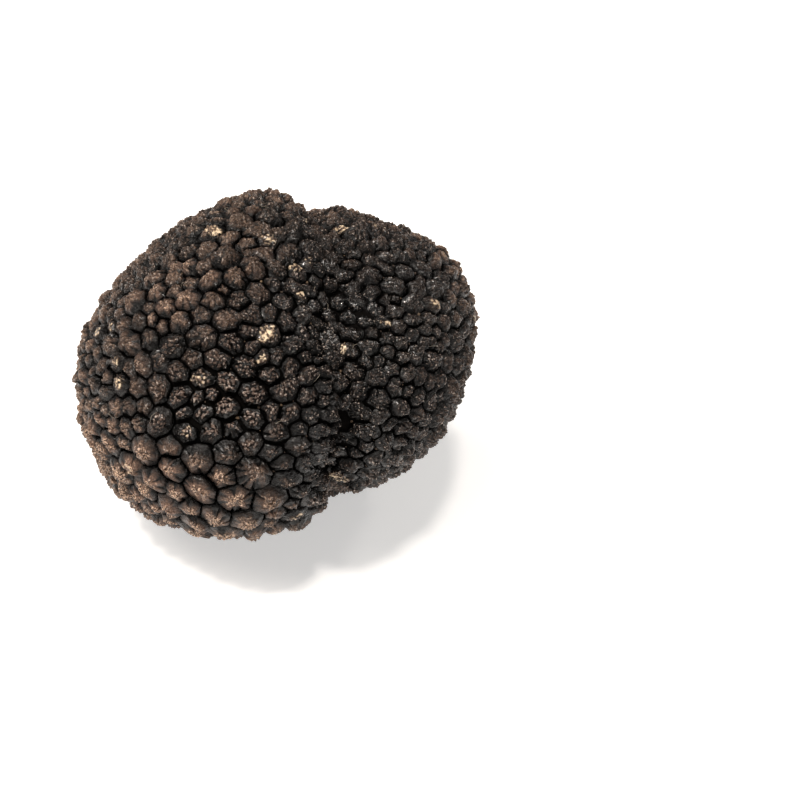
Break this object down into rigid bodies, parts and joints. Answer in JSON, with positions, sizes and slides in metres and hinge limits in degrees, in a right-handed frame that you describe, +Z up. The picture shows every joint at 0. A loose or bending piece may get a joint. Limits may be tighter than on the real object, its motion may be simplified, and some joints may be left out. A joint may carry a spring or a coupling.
{
  "type": "black truffle",
  "caption": "Whole black truffle: a lumpy two-lobed tuber with a dark rind of close, many-sided warts, resting on a small flat spot.",
  "frame": {"origin": "on the surface it rests on, under the middle of the bounding box", "axes": "+Z is up as it rests, +X runs along the two lobes, from the large near lobe towards the far lobe"},
  "size_m": [0.0666, 0.0624, 0.0522],
  "materials": {
    "rind": "near-black warty rind, matte and brown where rubbed, with a slight moist gloss in the hollows"
  },
  "bodies": {
    "root": {"truffle": "rind"}
  },
  "joints": []
}
